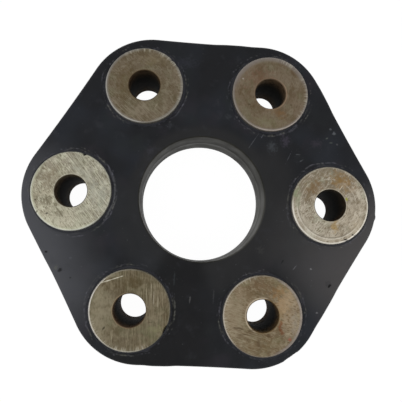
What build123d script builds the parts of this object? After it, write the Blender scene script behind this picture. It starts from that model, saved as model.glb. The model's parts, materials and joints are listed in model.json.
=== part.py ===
from build123d import *
import math
import os

# Flexible disc coupling: a moulded rubber disc with six steel bushes, joined in
# pairs by endless cord loops inside the rubber. Millimetres, +Z up. The origin is
# on the disc's axis, in the plane of the lower bush faces.

# Bushes: turned steel spools with a flange at each end and two guide collars
BUSH_COUNT = 6
BOLT_CIRCLE = 120.0
BUSH_LENGTH = 27.3
FLANGE_DIAMETER = 36.4
FLANGE_THICKNESS = 3.4
BORE_DIAMETER = 14.5
NECK_WALL = 3.6
COLLAR_HEIGHT = 4.6
COLLAR_THICKNESS = 1.4
FLANGE_CHAMFER = 0.35
BORE_CHAMFER = 0.4

# Cord loops: narrow ones against the flanges, a wide one between the collars
OUTER_LOOP_WIDTH = 5.0
LOOP_THICKNESS = 5.2
LOOP_CHAMFER = 1.0

# Rubber disc: its outline is given at the parting plane, half way up
BUSH_PROUD = 1.9
LOBE_RIM = 5.2
LOBE_RADIUS = 32.0
SIDE_WAIST = 0.3
INNER_WALL = 6.6
DRAFT_ANGLE = 1.0
OUTER_ROUNDING = 1.6
HOLE_ROUNDING = 1.0
REBATE_WIDTH = 2.4
REBATE_DEPTH = 0.4

# Places and sizes that follow
PITCH_ANGLE = 360 / BUSH_COUNT
BUSH_CENTRE = BOLT_CIRCLE / 2
BUSH_SPACING = BOLT_CIRCLE * math.sin(math.radians(PITCH_ANGLE / 2))
PAIR_CENTRE = BUSH_CENTRE * math.cos(math.radians(PITCH_ANGLE / 2))
FLANGE_RADIUS = FLANGE_DIAMETER / 2
BORE_RADIUS = BORE_DIAMETER / 2
NECK_RADIUS = BORE_RADIUS + NECK_WALL
COLLAR_RADIUS = NECK_RADIUS + COLLAR_HEIGHT
LOOP_RADIUS = NECK_RADIUS + LOOP_THICKNESS
RUBBER_THICKNESS = BUSH_LENGTH - 2 * BUSH_PROUD
PARTING_HEIGHT = BUSH_LENGTH / 2
LOBE_CENTRE = BUSH_CENTRE + FLANGE_RADIUS + LOBE_RIM - LOBE_RADIUS
HOLE_RADIUS = PAIR_CENTRE - LOOP_RADIUS - INNER_WALL
LOWER_COLLAR = FLANGE_THICKNESS + OUTER_LOOP_WIDTH
UPPER_COLLAR = BUSH_LENGTH - LOWER_COLLAR - COLLAR_THICKNESS
MIDDLE_STATION = LOWER_COLLAR + COLLAR_THICKNESS
MIDDLE_LOOP_WIDTH = UPPER_COLLAR - MIDDLE_STATION
UPPER_STATION = UPPER_COLLAR + COLLAR_THICKNESS


def polar(radius, angle):
    """Point at a distance and an angle in degrees from the disc's axis."""
    return Vector(radius, 0, 0).rotate(Axis.Z, angle)


def washer(radius, bottom, height):
    """Solid round plate on the Z axis."""
    return Pos(0, 0, bottom) * Cylinder(radius, height, align=(Align.CENTER, Align.CENTER, Align.MIN))


def spool():
    """Outside of one bush, with no bore, standing on the origin."""
    flange = washer(FLANGE_RADIUS, 0, FLANGE_THICKNESS)
    flange = chamfer(flange.edges().group_by(Axis.Z)[0], FLANGE_CHAMFER)
    top_flange = mirror(flange, Plane.XY.offset(PARTING_HEIGHT))
    neck = washer(NECK_RADIUS, 0, BUSH_LENGTH)
    lower_collar = washer(COLLAR_RADIUS, LOWER_COLLAR, COLLAR_THICKNESS)
    upper_collar = washer(COLLAR_RADIUS, UPPER_COLLAR, COLLAR_THICKNESS)
    return neck + flange + top_flange + lower_collar + upper_collar


def bush():
    """One bush, bored through, with both mouths of the bore chamfered."""
    bored = spool() - washer(BORE_RADIUS, 0, BUSH_LENGTH)
    mouths = bored.edges().filter_by(GeomType.CIRCLE).filter_by(lambda e: abs(e.radius - BORE_RADIUS) < 1e-6)
    return chamfer(mouths, BORE_CHAMFER)


def cord_loop(width):
    """Endless band of cord round the necks of two neighbouring bushes."""
    band = extrude(SlotCenterToCenter(BUSH_SPACING, 2 * LOOP_RADIUS), width)
    outer_edges = band.edges().group_by(Axis.Z)[0] + band.edges().group_by(Axis.Z)[-1]
    band = chamfer(outer_edges, LOOP_CHAMFER)
    return band - extrude(SlotCenterToCenter(BUSH_SPACING, 2 * NECK_RADIUS), width)


def outline():
    """Outline of the disc: a round lobe past each bush, joined by barely hollow sides."""
    half_side = LOBE_CENTRE * math.sin(math.radians(PITCH_ANGLE / 2))
    lobe_line = LOBE_CENTRE * math.cos(math.radians(PITCH_ANGLE / 2))
    centres_apart = (half_side**2 + SIDE_WAIST**2) / (2 * SIDE_WAIST)
    side_centre = lobe_line + centres_apart - SIDE_WAIST
    arcs = []
    for number in range(BUSH_COUNT):
        angle = number * PITCH_ANGLE
        lobe = polar(LOBE_CENTRE, angle)
        next_lobe = polar(LOBE_CENTRE, angle + PITCH_ANGLE)
        side_before = polar(side_centre, angle - PITCH_ANGLE / 2)
        side_after = polar(side_centre, angle + PITCH_ANGLE / 2)
        lobe_start = lobe + (side_before - lobe).normalized() * LOBE_RADIUS
        lobe_end = lobe + (side_after - lobe).normalized() * LOBE_RADIUS
        side_end = next_lobe + (side_after - next_lobe).normalized() * LOBE_RADIUS
        side_middle = polar(lobe_line + LOBE_RADIUS - SIDE_WAIST, angle + PITCH_ANGLE / 2)
        arcs.append(ThreePointArc(lobe_start, polar(LOBE_CENTRE + LOBE_RADIUS, angle), lobe_end))
        arcs.append(ThreePointArc(lobe_end, side_middle, side_end))
    return make_face(arcs)


def disc_blank():
    """The moulded disc before anything is set in it, drafted both ways from the parting plane."""
    upper = extrude(outline(), RUBBER_THICKNESS / 2, taper=DRAFT_ANGLE)
    upper = fillet(upper.edges().group_by(Axis.Z)[-1], OUTER_ROUNDING)
    blank = upper + mirror(upper, Plane.XY)
    blank -= Cylinder(HOLE_RADIUS, RUBBER_THICKNESS)
    hole_edges = blank.edges().filter_by(GeomType.CIRCLE).filter_by(lambda e: abs(e.radius - HOLE_RADIUS) < 1e-6)
    return Pos(0, 0, PARTING_HEIGHT) * fillet(hole_edges, HOLE_ROUNDING)


def rebate():
    """Shallow ring that the mould's seal leaves round a bush, on both faces of the disc."""
    radius = FLANGE_RADIUS + REBATE_WIDTH
    depth = BUSH_PROUD + REBATE_DEPTH
    return washer(radius, 0, depth) + washer(radius, BUSH_LENGTH - depth, depth)


def place_bush(shape, number):
    """Move a shape from the origin to a bush's place on the bolt circle."""
    centre = polar(BUSH_CENTRE, number * PITCH_ANGLE)
    return Pos(centre.X, centre.Y, 0) * shape


def place_loop(width, bottom, number):
    """A cord loop round bush number and the next one."""
    angle = (number + 0.5) * PITCH_ANGLE
    centre = polar(PAIR_CENTRE, angle)
    return Pos(centre.X, centre.Y, bottom) * Rot(0, 0, angle + 90) * cord_loop(width)


def bushes():
    return {f"bush_{number + 1}": place_bush(bush(), number) for number in range(BUSH_COUNT)}


def cord_loops():
    """Wide loops on every other pair of bushes, and two narrow ones on each pair between."""
    loops = {}
    for pair in range(BUSH_COUNT // 2):
        loops[f"middle_cord_loop_{pair + 1}"] = place_loop(MIDDLE_LOOP_WIDTH, MIDDLE_STATION, 2 * pair)
        loops[f"lower_cord_loop_{pair + 1}"] = place_loop(OUTER_LOOP_WIDTH, FLANGE_THICKNESS, 2 * pair + 1)
        loops[f"upper_cord_loop_{pair + 1}"] = place_loop(OUTER_LOOP_WIDTH, UPPER_STATION, 2 * pair + 1)
    return loops


def rubber_body(loops):
    """Rubber moulded round the bushes and the loops, and bonded to them."""
    body = disc_blank()
    inserts = spool() + rebate()
    for number in range(BUSH_COUNT):
        body -= place_bush(inserts, number)
    for loop in loops.values():
        body -= loop
    return body


def main():
    loops = cord_loops()
    nodes = {"rubber_body": rubber_body(loops)} | bushes() | loops
    os.makedirs("parts", exist_ok=True)
    for name, shape in nodes.items():
        shape.label = name
        export_step(shape, f"parts/{name}.step")


main()
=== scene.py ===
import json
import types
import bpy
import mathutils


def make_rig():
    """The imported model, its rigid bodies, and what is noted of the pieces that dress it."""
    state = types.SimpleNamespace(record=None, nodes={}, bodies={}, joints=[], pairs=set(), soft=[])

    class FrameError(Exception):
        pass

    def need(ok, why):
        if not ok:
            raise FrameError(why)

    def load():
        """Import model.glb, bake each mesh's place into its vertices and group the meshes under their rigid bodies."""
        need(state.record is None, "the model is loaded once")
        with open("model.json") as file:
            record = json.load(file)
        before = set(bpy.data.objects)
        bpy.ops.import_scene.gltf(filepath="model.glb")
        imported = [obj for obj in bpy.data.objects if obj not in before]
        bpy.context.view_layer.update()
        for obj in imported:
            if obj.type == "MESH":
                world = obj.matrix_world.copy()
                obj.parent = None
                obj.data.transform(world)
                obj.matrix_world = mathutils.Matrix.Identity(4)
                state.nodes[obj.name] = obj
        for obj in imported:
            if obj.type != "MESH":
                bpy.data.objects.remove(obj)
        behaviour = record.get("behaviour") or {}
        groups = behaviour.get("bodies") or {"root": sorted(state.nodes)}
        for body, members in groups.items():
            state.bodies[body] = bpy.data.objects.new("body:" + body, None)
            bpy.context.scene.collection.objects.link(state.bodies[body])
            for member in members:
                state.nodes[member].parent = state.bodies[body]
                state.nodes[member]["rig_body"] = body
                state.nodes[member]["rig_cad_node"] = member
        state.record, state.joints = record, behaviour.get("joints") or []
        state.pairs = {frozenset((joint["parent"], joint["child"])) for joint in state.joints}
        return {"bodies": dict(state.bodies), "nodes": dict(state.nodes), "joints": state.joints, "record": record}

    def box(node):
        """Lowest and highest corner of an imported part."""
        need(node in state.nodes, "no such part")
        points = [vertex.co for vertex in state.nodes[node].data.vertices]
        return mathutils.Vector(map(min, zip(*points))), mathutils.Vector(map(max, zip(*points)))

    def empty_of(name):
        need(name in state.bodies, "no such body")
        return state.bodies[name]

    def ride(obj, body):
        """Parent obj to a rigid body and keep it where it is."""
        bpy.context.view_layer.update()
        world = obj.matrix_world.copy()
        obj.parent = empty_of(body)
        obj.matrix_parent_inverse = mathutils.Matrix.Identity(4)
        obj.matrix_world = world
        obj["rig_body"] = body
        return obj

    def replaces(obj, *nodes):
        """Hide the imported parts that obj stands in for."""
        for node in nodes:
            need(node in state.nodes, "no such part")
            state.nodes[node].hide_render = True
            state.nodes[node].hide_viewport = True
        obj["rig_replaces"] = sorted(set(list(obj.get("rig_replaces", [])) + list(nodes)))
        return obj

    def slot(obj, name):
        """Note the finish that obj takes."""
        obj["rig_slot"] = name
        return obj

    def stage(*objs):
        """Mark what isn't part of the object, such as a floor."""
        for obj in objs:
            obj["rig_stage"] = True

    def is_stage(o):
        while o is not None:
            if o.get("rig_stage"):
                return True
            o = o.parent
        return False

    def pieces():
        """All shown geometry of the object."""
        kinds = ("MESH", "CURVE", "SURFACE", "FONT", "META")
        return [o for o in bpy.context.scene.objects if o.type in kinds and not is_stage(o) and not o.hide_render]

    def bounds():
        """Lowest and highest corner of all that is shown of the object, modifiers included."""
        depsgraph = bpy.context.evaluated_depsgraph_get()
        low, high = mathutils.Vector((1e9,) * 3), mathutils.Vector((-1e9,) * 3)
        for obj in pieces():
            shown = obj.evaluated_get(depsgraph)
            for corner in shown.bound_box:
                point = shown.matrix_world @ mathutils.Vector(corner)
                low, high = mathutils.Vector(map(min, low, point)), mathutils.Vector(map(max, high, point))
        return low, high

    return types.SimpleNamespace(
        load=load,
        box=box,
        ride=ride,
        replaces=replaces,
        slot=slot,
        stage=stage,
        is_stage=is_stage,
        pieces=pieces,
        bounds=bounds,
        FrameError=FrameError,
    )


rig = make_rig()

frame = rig.load()
cad_low, cad_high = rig.bounds()

import json
import math

import bmesh
import bpy
from mathutils import Vector, noise

bl_info = {
    "name": "Flexible disc coupling",
    "version": (1, 1, 0),
    "blender": (4, 5, 0),
    "location": "3D View > Sidebar > Coupling",
    "description": "Finishes a six-bolt rubber disc coupling with ground steel bushes",
    "category": "Object",
}

# Sizes taken from the frame, in millimetres. Meshes and patterns are made in millimetres too.
MM = 0.001
BUSH_COUNT = 6
PITCH = math.tau / BUSH_COUNT
UP = (0, 0, 1)
mounts = {mount["name"]: mount["dims"] for mount in frame["record"]["mounts"]}
bush_low, bush_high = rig.box("bush_1")
rubber_low, rubber_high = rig.box("rubber_body")
BUSH_CENTRE = mounts["upper_bolt_circle"]["pcd_mm"] / 2
BORE_RADIUS = mounts["upper_bolt_circle"]["hole_r_mm"]
HOLE_RADIUS = mounts["centre_hole"]["r_mm"]
BUSH_RADIUS = (bush_high.y - bush_low.y) / 2 / MM
BUSH_HALF = bush_high.z / 2 / MM
DISC_TIP = rubber_high.x / MM
RUBBER_HALF = (rubber_high.z - rubber_low.z) / 2 / MM
OUTER_LOOP_WIDTH = (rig.box("lower_cord_loop_1")[1].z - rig.box("lower_cord_loop_1")[0].z) / MM

# How finely round things are divided
BUSH_STEPS = 192
POCKET_STEPS = 180
HOLE_STEPS = 192
LOBE_STEPS = 44
SIDE_STEPS = 30
WALL_STEPS = 4
ROUNDING_STEPS = 6
BLISTER_STEPS = 28
RING_ROWS = 12

# Points closer together than this are one
WELD = 0.002

# The zone round a bush that the mould's ring and its torn flash may take up
RING_START = BUSH_RADIUS + 0.1
RING_END = BUSH_RADIUS + 3.1

# How far a dent reaches in from a bush's rim and down from its face, its fall as a share of its push, and
# how far a knock reaches in from a lobe's tip
DENT_REACH = 1.3
DENT_FALL = 0.4
KNOCK_REACH = 14

# Heights from which a place belongs to the upper face, and up to which the centre hole's wall is dusty
UPPER_FACE = 21
WALL_TOP = 24.9

# A limit that no size or tone reaches
FAR = 200

# Metres from the disc to each lamp
LAMP_DISTANCE = 1.2

# Longer streaks of torn flash on the upper face, by bush, anticlockwise from the one on +X:
# radius in millimetres, middle and half of the arc in degrees, how torn from 0 to 1
TORN_FLASH = [
    [(20.6, 95, 20, 0.9), (20.8, 118, 6, 0.9), (19.9, 160, 28, 0.6), (19.5, 315, 24, 0.8),
     (20.4, 205, 9, 0.4)],
    [(20.0, 290, 26, 0.9), (20.8, 335, 8, 0.7), (19.4, 302, 30, 0.6), (20.3, 170, 5, 0.9),
     (19.8, 230, 15, 0.5)],
    [(20.2, 335, 20, 0.9), (19.5, 225, 22, 0.7), (19.8, 20, 14, 0.6), (20.4, 170, 10, 0.6)],
    [(19.9, 35, 28, 0.9), (20.6, 330, 24, 0.9), (20.0, 95, 10, 0.7), (20.8, 282, 9, 0.9),
     (19.4, 200, 22, 0.4)],
    [(20.8, 137, 7, 1.0), (20.6, 165, 12, 0.8), (20.1, 195, 24, 0.6), (20.2, 2, 13, 0.9),
     (19.3, 18, 10, 0.8), (20.0, 268, 18, 0.6), (20.0, 100, 16, 0.4)],
    [(19.9, 175, 10, 0.7), (20.0, 205, 18, 0.8), (20.3, 20, 26, 0.5), (19.8, 110, 10, 0.4)],
]

# Knocks and unevenness along the outline: place, reach, how far it is pushed in (out if negative), and the
# lowest height above the middle that it touches
KNOCKS = [
    ((43.0, -70.1), 2.6, 0.35, -20), ((45.9, -68.6), 1.4, 0.25, -20), ((82.4, -4.4), 1.2, -0.35, 2),
    ((-70.2, -27.3), 0.9, 0.3, 8), ((56.3, 52.5), 7.0, -0.3, -20), ((11.5, 75.6), 7.0, -0.3, -20),
    ((-73.5, -22.5), 13.0, -0.3, -20), ((-15.5, -76.0), 6.0, -0.35, -20), ((61.5, -48.0), 8.0, -0.25, -20),
]


def size_in_mm(name, description, size):
    """A length that the sidebar shows in the scene's units."""
    return bpy.props.FloatProperty(name=name, description=description, default=size * MM, unit="LENGTH")


class DiscSizes(bpy.types.PropertyGroup):
    """Sizes of the moulded rubber disc."""

    lobe_radius: size_in_mm("Lobe radius", "Radius of each rounded corner", 32.0)
    side_waist: size_in_mm("Side waist", "How far the middle of each side is hollow", 0.3)
    outer_rounding: size_in_mm("Outer rounding", "Radius along the outer edges", 1.6)
    hole_rounding: size_in_mm("Hole rounding", "Radius along the centre hole's edges", 1.0)
    ring_width: size_in_mm("Ring width", "Usual width of the mould's ring round a bush", 0.95)
    ring_depth: size_in_mm("Ring depth", "Depth of the mould's ring round a bush", 0.2)
    flash_height: size_in_mm("Flash height", "Most that torn mould flash stands proud", 0.3)
    seam_flash: size_in_mm("Seam flash", "How far the seam at the parting line stands out", 0.12)
    draft: bpy.props.FloatProperty(
        name="Draft", description="Slope of the outer wall out of the mould",
        default=math.radians(1), unit="ROTATION")
    colour: bpy.props.FloatVectorProperty(
        name="Rubber", description="Colour of the clean rubber", subtype="COLOR",
        default=(0.0060, 0.0066, 0.0084), min=0, max=1)


class BushSizes(bpy.types.PropertyGroup):
    """Sizes of the turned steel bushes."""

    flange_thickness: size_in_mm("Flange thickness", "Thickness of the end flanges", 3.4)
    neck_wall: size_in_mm("Neck wall", "Wall between the bore and the cords", 3.6)
    collar_height: size_in_mm("Collar height", "How far the guide collars stand out", 4.6)
    collar_thickness: size_in_mm("Collar thickness", "Thickness of the guide collars", 1.4)
    flange_chamfer: size_in_mm("Flange chamfer", "Chamfer round the end faces", 0.35)
    bore_chamfer: size_in_mm("Bore chamfer", "Chamfer at the bore's mouths", 0.4)
    edge_break: size_in_mm("Edge break", "Rounding that handling gave the sharp edges", 0.08)


class StageSettings(bpy.types.PropertyGroup):
    """Camera, lamps and floor."""

    camera_place: bpy.props.FloatVectorProperty(
        name="Camera place", description="Where the camera stands", subtype="TRANSLATION",
        default=(-9.91 * MM, -21.66 * MM, 217.37 * MM))
    camera_turn: bpy.props.FloatVectorProperty(
        name="Camera turn", description="How the camera is turned from straight down", subtype="EULER",
        default=(math.radians(5.935), math.radians(-3.104), math.radians(2.891)))
    camera_lens: bpy.props.FloatProperty(
        name="Lens", description="Focal length on a sensor 36 mm wide", default=37.22, min=1)
    floor_size: bpy.props.FloatProperty(
        name="Floor size", description="Side of the square floor", default=6.0, unit="LENGTH")
    sky: bpy.props.FloatProperty(
        name="Sky", description="Strength of the even light from all round", default=0.72, min=0)


def linear(colour):
    """An sRGB hex colour as linear red, green, blue and alpha."""
    channels = [int(colour[i:i + 2], 16) / 255 for i in (1, 3, 5)]
    return tuple(c / 12.92 if c <= 0.04045 else ((c + 0.055) / 1.055) ** 2.4 for c in channels) + (1.0,)


def polar(radius, angle, height=0.0):
    """Point at a distance from the disc's axis and an angle in radians."""
    return Vector((radius * math.cos(angle), radius * math.sin(angle), height))


# Meshes

def mesh_of(bm, name):
    """The mesh that was built, as data for an object."""
    mesh = bpy.data.meshes.new(name)
    bm.to_mesh(mesh)
    bm.free()
    return mesh


def new_object(name, data):
    """An object of a mesh, a lamp or a camera, put into the scene."""
    item = bpy.data.objects.new(name, data)
    bpy.context.scene.collection.objects.link(item)
    return item


def finished_piece(bm, name, materials, cad_node, slot):
    """Make an object of a mesh built in millimetres, in place of a CAD node."""
    bmesh.ops.scale(bm, vec=(MM, MM, MM), verts=bm.verts)
    bmesh.ops.recalc_face_normals(bm, faces=bm.faces)
    piece = new_object(name, mesh_of(bm, name))
    for material in materials:
        piece.data.materials.append(material)
    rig.ride(piece, "root")
    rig.replaces(piece, cad_node)
    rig.slot(piece, slot)
    return piece


def absorb(bm, other):
    """Add a mesh that was built on its own, which is quicker than building it inside a large one."""
    spare = mesh_of(other, "spare")
    bm.from_mesh(spare)
    bpy.data.meshes.remove(spare)


def spun(profile, steps, centre=(0, 0)):
    """A profile of (radius, height) points turned once round an upright axis."""
    bm = bmesh.new()
    chain = [bm.verts.new((centre[0] + radius, centre[1], height)) for radius, height in profile]
    edges = [bm.edges.new(pair) for pair in zip(chain, chain[1:])]
    bmesh.ops.spin(bm, geom=chain + edges, cent=(centre[0], centre[1], 0), axis=UP,
                   angle=math.tau, steps=steps, use_merge=True)
    return bm


def quarter_round(radius, height, rounding, outward):
    """Profile points round an edge, from the wall at radius to the face at height."""
    points = []
    for step in range(ROUNDING_STEPS + 1):
        turn = math.pi / 2 * step / ROUNDING_STEPS
        points.append((radius + outward * rounding * (1 - math.cos(turn)),
                       height - rounding * (1 - math.sin(turn))))
    return points


def spool_profile(sizes):
    """Outside of a bush from its middle to the underside of its flange, as (radius, height)."""
    neck = BORE_RADIUS + sizes.neck_wall / MM
    collar = neck + sizes.collar_height / MM
    under_flange = BUSH_HALF - sizes.flange_thickness / MM
    collar_top = under_flange - OUTER_LOOP_WIDTH
    collar_bottom = collar_top - sizes.collar_thickness / MM
    return [(neck, 0), (neck, collar_bottom), (collar, collar_bottom), (collar, collar_top),
            (neck, collar_top), (neck, under_flange), (BUSH_RADIUS, under_flange)]


def bush_mesh(sizes, centre, dents):
    """A bush: one profile spun round its bore, mirrored, with its edges broken and its rim dented."""
    face_chamfer = sizes.flange_chamfer / MM
    mouth = sizes.bore_chamfer / MM
    rim_band, mouth_band = 1.2, 0.6
    profile = spool_profile(sizes) + [
        (BUSH_RADIUS, BUSH_HALF - face_chamfer), (BUSH_RADIUS - face_chamfer, BUSH_HALF),
        (BUSH_RADIUS - rim_band, BUSH_HALF), (BORE_RADIUS + mouth + mouth_band, BUSH_HALF),
        (BORE_RADIUS + mouth, BUSH_HALF), (BORE_RADIUS, BUSH_HALF - mouth), (BORE_RADIUS, 0)]
    bm = spun(profile, BUSH_STEPS)
    handled = [edge for edge in bm.edges if len(edge.link_faces) == 2
               and edge.calc_face_angle(0) > math.radians(30)
               and min(vert.co.z for vert in edge.verts) > BUSH_HALF - sizes.flange_thickness / MM + 0.1]
    bmesh.ops.bevel(bm, geom=handled, offset=sizes.edge_break / MM, offset_type="OFFSET", segments=2,
                    profile=0.5, affect="EDGES", material=-1)
    bmesh.ops.mirror(bm, geom=bm.verts[:] + bm.edges[:] + bm.faces[:], axis="Z", merge_dist=WELD / 2)
    for face in bm.faces:
        face.smooth = True
        if max(vert.co.xy.length for vert in face.verts) < BORE_RADIUS + mouth - 0.01:
            face.material_index = 1
    for vert in bm.verts:
        dent_rim(vert, dents)
    bmesh.ops.translate(bm, vec=(centre.x, centre.y, BUSH_HALF), verts=bm.verts)
    return bm


def dent_rim(vert, dents):
    """Push one vertex of the upper rim in by the dents near it: their angle, depth and half width."""
    radius = vert.co.xy.length
    if vert.co.z < BUSH_HALF - DENT_REACH or radius < BUSH_RADIUS - DENT_REACH:
        return
    angle = math.degrees(math.atan2(vert.co.y, vert.co.x))
    near_edge = min(1, radius - BUSH_RADIUS + DENT_REACH)
    for at, depth, half_width in dents:
        along = math.radians((angle - at + 180) % 360 - 180) * BUSH_RADIUS / half_width
        push = depth * near_edge * math.exp(-along ** 4)
        vert.co.xy *= 1 - push / radius
        vert.co.z -= DENT_FALL * push


class Outline:
    """Shape of the disc seen from above: round lobes joined by barely hollow sides."""

    def __init__(self, sizes):
        self.lobe_radius = sizes.lobe_radius / MM
        self.lobe_centre = DISC_TIP - self.lobe_radius
        half_side = self.lobe_centre * math.sin(PITCH / 2)
        waist = sizes.side_waist / MM
        centres_apart = (half_side ** 2 + waist ** 2) / (2 * waist)
        self.side_centre = self.lobe_centre * math.cos(PITCH / 2) + centres_apart - waist
        self.past_square = math.asin(half_side / centres_apart)

    def draw(self, bm):
        """Spin a vertex round each lobe and each side in turn, at height 0."""
        half_turn = PITCH / 2 + self.past_square
        start = polar(self.lobe_centre, 0) + polar(self.lobe_radius, -half_turn)
        vert = bm.verts.new(start)
        for number in range(BUSH_COUNT):
            lobe = polar(self.lobe_centre, number * PITCH)
            side = polar(self.side_centre, (number + 0.5) * PITCH)
            for centre, turn, steps in ((lobe, 2 * half_turn, LOBE_STEPS),
                                        (side, -2 * self.past_square, SIDE_STEPS)):
                drawn = bmesh.ops.spin(bm, geom=[vert], cent=centre, axis=UP, angle=turn, steps=steps)
                vert = drawn["geom_last"][0]
        closing_gap = 0.05
        bmesh.ops.remove_doubles(bm, verts=bm.verts, dist=closing_gap)
        return bm.edges[:]

    def outward(self, place):
        """Direction square to the outline at a place on it."""
        number = round(math.atan2(place.y, place.x) / PITCH)
        from_lobe = place.xy - polar(self.lobe_centre, number * PITCH).xy
        off_tip = from_lobe.angle_signed(polar(1, number * PITCH).xy)
        if abs(off_tip) <= PITCH / 2 + self.past_square:
            return from_lobe.normalized().to_3d()
        side = number + (0.5 if off_tip > 0 else -0.5)
        return (polar(self.side_centre, side * PITCH).xy - place.xy).normalized().to_3d()


def wall_steps(sizes):
    """Moves (outward, up) that draw the outer wall from the parting line up to the disc's face."""
    flash_rise = 0.22
    rounding = sizes.outer_rounding / MM
    straight = RUBBER_HALF - rounding - flash_rise
    slope = math.tan(sizes.draft)
    row = straight / WALL_STEPS
    steps = [(-sizes.seam_flash / MM, flash_rise)] + [(-slope * row, row)] * WALL_STEPS
    corner = quarter_round(0, rounding, rounding, -1)
    steps += [(b[0] - a[0], b[1] - a[1]) for a, b in zip(corner, corner[1:])]
    return steps


def roughness_at(place, size, seed):
    """Smooth noise from -1 to 1 that changes over size millimetres."""
    return noise.noise(Vector((place.x / size, place.y / size, seed)))


def outer_wall(sizes):
    """The disc's outer wall, extruded from its outline at height 0 up to its face."""
    outline = Outline(sizes)
    bm = bmesh.new()
    ring = outline.draw(bm)
    for outward, up in wall_steps(sizes):
        grown = bmesh.ops.extrude_edge_only(bm, edges=ring)["geom"]
        ring = [item for item in grown if isinstance(item, bmesh.types.BMEdge) and item.is_boundary]
        for vert in (item for item in grown if isinstance(item, bmesh.types.BMVert)):
            vert.co += outline.outward(vert.co) * outward + Vector((0, 0, up))
    return bm


def pockets(sizes, bush_sizes):
    """Rubber round the bush on +X from the disc's middle up to its face, copied to every bush."""
    rows = [RING_START + (RING_END - RING_START) * row / (RING_ROWS - 1) for row in range(RING_ROWS)]
    floor = RUBBER_HALF - sizes.ring_depth / MM
    profile = spool_profile(bush_sizes) + [(BUSH_RADIUS, floor)] + [(row, RUBBER_HALF) for row in rows]
    bm = spun(profile, POCKET_STEPS, polar(BUSH_CENTRE, 0))
    bmesh.ops.spin(bm, geom=bm.verts[:] + bm.edges[:] + bm.faces[:], cent=(0, 0, 0), axis=UP,
                   angle=math.tau - PITCH, steps=BUSH_COUNT - 1, use_duplicate=True)
    return bm


def pit(place, radius, depth):
    """A round blister mark in the face: a low lip round a hollow."""
    profile = [(0, RUBBER_HALF - depth), (0.45 * radius, RUBBER_HALF - 0.85 * depth),
               (0.8 * radius, RUBBER_HALF - 0.2 * depth), (0.95 * radius, RUBBER_HALF + 0.1),
               (1.1 * radius, RUBBER_HALF + 0.06), (1.25 * radius, RUBBER_HALF)]
    return spun(profile, BLISTER_STEPS, place)


def half_disc(sizes, bush_sizes, pits):
    """One half of the rubber disc, from the parting plane at height 0 up to its face."""
    bm = outer_wall(sizes)
    seam, seam_rise = 0.05, 0.18
    hole = [(HOLE_RADIUS - seam, 0), (HOLE_RADIUS, seam_rise), (HOLE_RADIUS, RUBBER_HALF / 2)]
    hole += quarter_round(HOLE_RADIUS, RUBBER_HALF, sizes.hole_rounding / MM, 1)
    absorb(bm, spun(hole, HOLE_STEPS))
    absorb(bm, pockets(sizes, bush_sizes))
    for place, radius, depth in pits:
        absorb(bm, pit(place, radius, depth))
    bmesh.ops.remove_doubles(bm, verts=bm.verts, dist=WELD)
    rims = [edge for edge in bm.edges if edge.is_boundary
            and min(vert.co.z for vert in edge.verts) > RUBBER_HALF - WELD]
    for face in bm.faces:
        face.smooth = True
    filled = bmesh.ops.triangle_fill(bm, edges=rims, use_beauty=True, normal=UP)["geom"]
    for face in (item for item in filled if isinstance(item, bmesh.types.BMFace)):
        face.smooth = False
    if any(edge.is_boundary for edge in rims):
        raise RuntimeError("the disc's face has a gap")
    return bm


def ring_relief(sizes, number, from_bush, streaks, seed):
    """How torn and how sunk, each from 0 to 1, the mould's ring is at a place round a bush."""
    radius = from_bush.length
    way = from_bush.normalized()
    rim = polar(BUSH_CENTRE, number * PITCH).xy + way * BUSH_RADIUS

    # The ring's outer edge wanders and slopes, and thin flash is torn off along it
    edge = BUSH_RADIUS + sizes.ring_width / MM + 0.5 * roughness_at(rim, 9, seed)
    edge += 0.25 * roughness_at(rim, 2.5, seed + 5)
    sunk = min(1, max(0, (edge - radius) / 0.4 + 0.5))
    torn = math.exp(-((radius - edge - 0.2) / 0.28) ** 2) * max(0, 0.8 * roughness_at(rim, 4, seed + 11))

    # Longer streaks wander too, and are broken along their length
    angle = math.degrees(math.atan2(way.y, way.x))
    for at, middle, half, strength in streaks:
        along = ((angle - middle + 180) % 360 - 180) / half
        off = radius - at - 0.5 * roughness_at(rim, 3.2, seed + 41)
        streak = math.exp(-(off / 0.24) ** 2 - along ** 4)
        torn += streak * strength * max(0, 0.6 + 1.5 * roughness_at(rim, 1.3, seed + 21))

    # Crumbs lie beyond the ring's edge, and everything fades out at the zone's end
    place = polar(BUSH_CENTRE, number * PITCH).xy + from_bush
    torn += (1 - sunk) * 1.6 * max(0, roughness_at(place, 0.9, seed + 31) - 0.31)
    fade = min(1, (RING_END - radius) / 0.5)
    return min(1, torn) * fade, sunk * fade


def shape_rings(bm, sizes, seed):
    """Sink the mould's ring round every bush on both faces, raise its torn flash, and keep both as layers."""
    torn_layer = bm.verts.layers.float.new("torn")
    sunk_layer = bm.verts.layers.float.new("sunk")
    for vert in bm.verts:
        number = round(math.atan2(vert.co.y, vert.co.x) / PITCH)
        from_bush = vert.co.xy - polar(BUSH_CENTRE, number * PITCH).xy
        if abs(vert.co.z) < RUBBER_HALF - WELD or not RING_START - WELD < from_bush.length < RING_END - WELD:
            continue
        upper = vert.co.z > 0
        torn, sunk = ring_relief(sizes, number, from_bush, TORN_FLASH[number % BUSH_COUNT] if upper else (),
                                 seed if upper else seed + 40)
        rise = torn * sizes.flash_height / MM - sunk * sizes.ring_depth / MM
        vert.co.z += rise if upper else -rise
        vert[torn_layer] = torn
        vert[sunk_layer] = sunk


def knock(bm, outline, place, reach, depth, lowest):
    """Move the disc's edge in or out near a place, above a height."""
    for vert in bm.verts:
        off = (vert.co.xy - Vector(place)).length / reach
        if vert.co.z > lowest and off < 2 and vert.co.xy.length > DISC_TIP - KNOCK_REACH:
            vert.co -= outline.outward(vert.co) * depth * math.exp(-off ** 4)


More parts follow.
